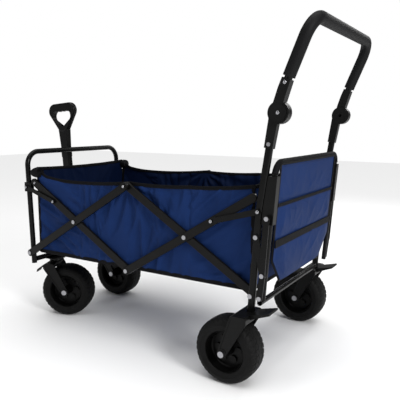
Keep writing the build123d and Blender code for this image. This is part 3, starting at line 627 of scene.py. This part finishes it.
# ------------------------------------------------------------- rear pocket panel
lean = math.atan2(HOOP_TOP[0] - HOOP_FOOT[0], HOOP_TOP[1] - HOOP_FOOT[1])
PANEL_UP = np.array((math.sin(lean), 0, math.cos(lean)))
PANEL_OUT = np.array((math.cos(lean), 0, -math.sin(lean)))
PANEL_BASE = np.array((HOOP_FOOT[0], 0, HOOP_FOOT[1]))
HOOP_HEIGHT = math.hypot(HOOP_TOP[0] - HOOP_FOOT[0], HOOP_TOP[1] - HOOP_FOOT[1])
PANEL_HALF = 0.243
PANEL_LOW = 0.036
CUT_HIGH = 0.112              # the lower corners are cut off from here
CUT_HALF = 0.172
POCKET_HIGH = 0.276           # mouths of the upper and lower pockets
POCKET_LOW = 0.166
EDGE_OUT = 0.005              # how far the edge tape stands out from the hoop's plane
UPPER_OUT, LOWER_OUT = 0.0022, 0.0048   # the pockets lie one over the other
UPPER_BAND, LOWER_BAND = 0.011, 0.024   # widths of the tapes on their mouths
BAND_THICK = 0.0022
PANEL_SEAM_LIFT = 0.0014


def on_panel(y, up, out):
    """A point of the rear panel: across, up the lean from the hoop's foot, and out."""
    return PANEL_BASE + np.array((0, y, 0)) + PANEL_UP * up + PANEL_OUT * out


def panel_half(up):
    """Half the panel's width at a height."""
    if up >= CUT_HIGH:
        return PANEL_HALF
    t = (up - PANEL_LOW) / (CUT_HIGH - PANEL_LOW)
    return CUT_HALF + (PANEL_HALF - CUT_HALF) * t


def panel_sheet(low, high, bulge, seed, flat_below=0.0, rows=60, columns=110):
    """Points of cloth between two heights; bulge is how far its middle stands out.

    Below flat_below it lies flat, because a pocket covers it.
    """
    points = []
    for j in range(rows):
        up = low + (high - low) * j / (rows - 1)
        half = panel_half(up)
        row = []
        for i in range(columns):
            y = -half + 2 * half * i / (columns - 1)
            tall = math.sin(math.pi * min(1.0, 0.08 + 0.9 * (up - low) / (high - low)))
            wide = smooth(half - abs(y), 0.0, 0.05)
            folds = crease(y, up, 80, 0.05, 0.11, seed) * 0.0016
            folds += crease(y, up, 24 if y > 0 else -24, 0.05, 0.24, seed + 3) * 0.0022
            billow = noise.noise(Vector((y * 9, up * 9, seed))) * 0.003
            loose = smooth(up, flat_below, flat_below + 0.02)
            out = 0.0035 + loose * wide * tall * (bulge + folds + billow)
            row.append(on_panel(y, up, out))
        points.append(row)
    return np.array(points)


back_points = panel_sheet(PANEL_LOW, HOOP_HEIGHT - 0.004, 0.003, 21.0, POCKET_HIGH)
upper_points = panel_sheet(POCKET_LOW, POCKET_HIGH, 0.006, 23.0)
lower_points = panel_sheet(PANEL_LOW, POCKET_LOW, 0.008, 27.0)
panel = surface("pocket_panel_cloth", back_points[::-1], cloth_end)
upper_pocket = surface("upper_pocket_cloth", upper_points[::-1] + PANEL_OUT * UPPER_OUT, cloth_end)
lower_pocket = surface("lower_pocket_cloth", lower_points[::-1] + PANEL_OUT * LOWER_OUT, cloth_end)
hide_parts("rear_pocket_panel")


def panel_tape(name, line, width):
    """A flat tape on the rear panel."""
    return tape(name, line, PANEL_OUT, width, BAND_THICK, tape_end)


upper_line = upper_points[-1] + PANEL_OUT * 0.0045 - PANEL_UP * 0.004
lower_line = lower_points[-1] + PANEL_OUT * 0.0075 - PANEL_UP * 0.006
upper_mouth = panel_tape("upper_pocket_tape", upper_line, UPPER_BAND)
lower_mouth = panel_tape("lower_pocket_tape", lower_line, LOWER_BAND)
down = np.concatenate((np.linspace(HOOP_HEIGHT - 0.01, CUT_HIGH, 50),
                       np.linspace(CUT_HIGH, PANEL_LOW, 20)[1:]))
outline = [on_panel(-panel_half(up), up, EDGE_OUT) for up in down]
outline += [on_panel(y, PANEL_LOW, EDGE_OUT) for y in np.linspace(-CUT_HALF, CUT_HALF, 60)[1:]]
outline += [on_panel(panel_half(up), up, EDGE_OUT) for up in down[::-1][1:]]
edge_tape = panel_tape("panel_edge_tape", outline, TAPE_WIDTH)

# sleeve that wraps the hoop's top bar and its round corners
sleeve_left = [on_panel(-HOOP_Y + HOOP_CORNER * (1 - math.cos(t)),
                        HOOP_HEIGHT - HOOP_CORNER * (1 - math.sin(t)), 0)
               for t in np.linspace(0.2, math.pi / 2, 14)]
sleeve_bar = [on_panel(y, HOOP_HEIGHT, 0)
              for y in np.linspace(-HOOP_Y + HOOP_CORNER, HOOP_Y - HOOP_CORNER, 70)[1:-1]]
sleeve_right = [p * np.array((1, -1, 1)) for p in reversed(sleeve_left)]
sleeve_path = sleeve_left + sleeve_bar + sleeve_right
sleeve_radius = [0.0094 + 0.0004 * noise.noise(Vector((p[1] * 60, 0, 4))) for p in sleeve_path]
sleeve = rod("hoop_sleeve", sleeve_path, sleeve_radius, tape_end, 24)
seam_lines = (
    [on_panel(y, HOOP_HEIGHT - 0.012, EDGE_OUT) for y in np.linspace(-0.225, 0.225, 60)],
    upper_line - PANEL_UP * 0.0035,
    lower_line - PANEL_UP * 0.0105,
    outline)
panel_seam = join([stitches(f"panel_seam_{n}", line, PANEL_OUT, PANEL_SEAM_LIFT)
                   for n, line in enumerate(seam_lines)])
for piece in (panel, upper_pocket, lower_pocket, upper_mouth, lower_mouth, edge_tape, sleeve, panel_seam):
    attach(piece, "rear_frame")

# ------------------------------------------------------------ domed rivet heads
def dome(x, z, start, side, radius, height, sides=24):
    """A domed head on a pin along Y, standing out from |y| = start."""
    points = []
    for k in range(sides):
        turn = 2 * math.pi * k / sides
        ring = [(0.0, start)]
        ring += [(radius, start + height * t) for t in (0.0, 0.25, 0.45)]
        ring += [(radius * math.cos(a), start + height * (0.45 + 0.55 * math.sin(a)))
                 for a in np.linspace(0.2, math.pi / 2, 7)]
        points.append([(x + r * math.cos(turn), side * y, z + r * math.sin(turn)) for r, y in ring])
    return surface("rivet", points, zinc, round_u=True)


RIVET_HEIGHT = 0.0026
# body, places as (x, z, |y| of the head's foot), radius
RIVETS = (
    ("rear_link_pair", ((0.4714, 0.513, 0.2886), (0.323, 0.4715, 0.2886)), 0.0052),
    ("front_link_pair", ((-0.485, 0.515, 0.2681), (-0.347, 0.4715, 0.2681)), 0.0048),
    ("front_outer_arms", ((MIDDLE_X, 0.550, 0.2768),), 0.0048),
    ("front_inner_arms", ((-0.4465, 0.5325, 0.2600),), 0.0046),
    ("push_handle", ((0.5425, 0.860, 0.2908), (0.5255, 0.7825, 0.2922)), 0.0050),
)
for body, places, radius in RIVETS:
    heads = join([dome(x, z, y, side, radius, RIVET_HEIGHT)
                  for x, z, y in places for side, _ in SIDES])
    heads.name = f"rivet_heads_{body}"
    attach(heads, body)

# --------------------------------------------------------------------- soft tyres
TREAD_EDGE = 0.0405           # the tread ends this far from the tyre's middle
TREAD_DEPTH = 0.0022
TREAD_SWAY = 0.0022
TREAD_RINGS = (0.0105, 0.0245)
# half of the tyre's outline from its bead: across the tyre, and out from the axle
TYRE_PROFILE = (
    (0.0350, 0.0620), (0.0385, 0.0630), (0.0402, 0.0650), (0.0408, 0.0680), (0.0412, 0.0720),
    (0.0416, 0.0755), (0.0428, 0.0772), (0.0430, 0.0790), (0.0428, 0.0810), (0.0418, 0.0826),
    (0.0412, 0.0850), (0.0398, 0.0885), (0.0372, 0.0922), (0.0336, 0.0953), (0.0290, 0.0974),
    (0.0240, 0.0985), (0.0180, 0.0990), (0.0110, 0.0993), (0.0040, 0.0995))


def tyre_section(count):
    """The tyre's outline from one bead to the other, evenly spaced."""
    half = np.array(TYRE_PROFILE)
    whole = np.concatenate((half, half[::-1] * (-1, 1)))
    steps = np.linalg.norm(np.diff(whole, axis=0), axis=1)
    reach = np.concatenate(([0.0], np.cumsum(steps)))
    at = np.linspace(0, reach[-1], count)
    return np.stack([np.interp(at, reach, whole[:, k]) for k in range(2)], axis=1)


def groove(turn, across):
    """Depth of the tread at a place round the tyre and across it."""
    far = abs(across)
    if far > TREAD_EDGE:
        return 0.0
    wave = turn * TREAD_LUGS / (2 * math.pi) + (0.5 if across > 0 else 0.0)
    sway = TREAD_SWAY * math.sin(2 * math.pi * wave)
    ring = min(abs(far - place - sway) for place in TREAD_RINGS)
    cut = 1 - smooth(ring, 0.0006, 0.0018)
    bar = abs((wave + far * 14) % 1.0 - 0.5) * 2 * math.pi * WHEEL_RADIUS / TREAD_LUGS
    if far > TREAD_RINGS[1] + 0.001:
        cut = max(cut, 1 - smooth(bar, 0.0012, 0.0026))
    elif far > TREAD_RINGS[0] + 0.001:
        cut = max(cut, 0.8 * (1 - smooth(bar, 0.0006, 0.0018)))
    return TREAD_DEPTH * cut * smooth(TREAD_EDGE - far, 0.0, 0.003)


def tyre(node, body, turn):
    """A balloon tyre with a block tread, in the place of its CAD node."""
    low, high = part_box(node)
    centre = (Vector(low) + Vector(high)) / 2
    section = tyre_section(96)
    around = TREAD_LUGS * 11
    points = []
    for i in range(around):
        angle = 2 * math.pi * i / around
        ring = []
        for across, radius in section:
            r = radius - (groove(angle, across) if radius > 0.088 else 0.0)
            ring.append((r * math.cos(angle), across, r * math.sin(angle)))
        points.append(ring)
    piece = surface(f"{node}_tread", points, rubber, round_u=True, round_v=True)
    piece.data.transform(Matrix.Translation(centre) @ Matrix.Rotation(math.radians(turn), 4, "Z"))
    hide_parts(node)
    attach(piece, body)


for side, word in SIDES:
    tyre(f"rear_tyre_{word}", f"rear_wheel_{word}", 0)
    tyre(f"caster_tyre_{word}", f"caster_wheel_{word}", CASTER_TURN[word])

# ----------------------------------------------------------- camera, light, floor
CAMERA_PLACE = (1.07268, -1.57839, 0.75540)
CAMERA_YAW, CAMERA_DOWN, CAMERA_ROLL = 31.18, 8.89, 0.28
camera = bpy.data.objects.new("camera", bpy.data.cameras.new("camera"))
bpy.context.collection.objects.link(camera)
camera.data.sensor_width = 36
camera.data.lens = 46.94
camera.data.shift_x = -0.0034
camera.data.shift_y = 0.0107
camera.location = CAMERA_PLACE
camera.rotation_mode = "QUATERNION"
turned = Matrix.Rotation(math.radians(CAMERA_YAW), 3, "Z") @ Matrix.Rotation(
    math.radians(90 - CAMERA_DOWN), 3, "X") @ Matrix.Rotation(math.radians(CAMERA_ROLL), 3, "Z")
camera.rotation_quaternion = turned.to_quaternion()
bpy.context.scene.camera = camera

floor_paint = Paint("pale_floor", (0.9, 0.9, 0.9), 0.9, shine=0.1)
floor_paint.bump(floor_paint.noise(60.0, 3.0), 0.0002, 0.2)
GROUND_HALF = 9
ground_points = [[(x, y, 0) for y in (-GROUND_HALF, GROUND_HALF)] for x in (-GROUND_HALF, GROUND_HALF)]
ground = surface("ground", ground_points, floor_paint.material)

# the sky looks white, but lights the cart only a little, so that its blacks stay deep
SKY_LIGHT, SKY_SEEN = 0.22, 1.0
world = bpy.data.worlds.new("studio")
world.use_nodes = True
background = world.node_tree.nodes["Background"]
background.inputs["Color"].default_value = (1, 1, 1, 1)
seen = world.node_tree.nodes.new("ShaderNodeLightPath")
strength = world.node_tree.nodes.new("ShaderNodeMapRange")
strength.inputs["To Min"].default_value = SKY_LIGHT
strength.inputs["To Max"].default_value = SKY_SEEN
world.node_tree.links.new(seen.outputs["Is Camera Ray"], strength.inputs["Value"])
world.node_tree.links.new(strength.outputs["Result"], background.inputs["Strength"])
bpy.context.scene.world = world
bpy.context.scene.view_settings.view_transform = "Standard"


def softbox(name, place, aim, size, power):
    """A square area light at a place, looking at a point."""
    light = bpy.data.lights.new(name, "AREA")
    light.size = size
    light.energy = power
    lamp = bpy.data.objects.new(name, light)
    bpy.context.collection.objects.link(lamp)
    lamp.location = place
    lamp.rotation_mode = "QUATERNION"
    lamp.rotation_quaternion = (Vector(aim) - Vector(place)).to_track_quat("-Z", "Y")


softbox("key", (3.2, -1.5, 2.0), (0, 0, 0.4), 0.9, 80)
softbox("fill", (-1.6, -3.0, 1.5), (0, 0, 0.4), 1.0, 12)
softbox("back", (0.6, 2.8, 2.0), (0, 0, 0.4), 1.2, 20)
ceiling = bpy.data.lights.new("ceiling", "SUN")
ceiling.energy = 2.3
ceiling.angle = math.radians(70)
bpy.context.collection.objects.link(bpy.data.objects.new("ceiling", ceiling))
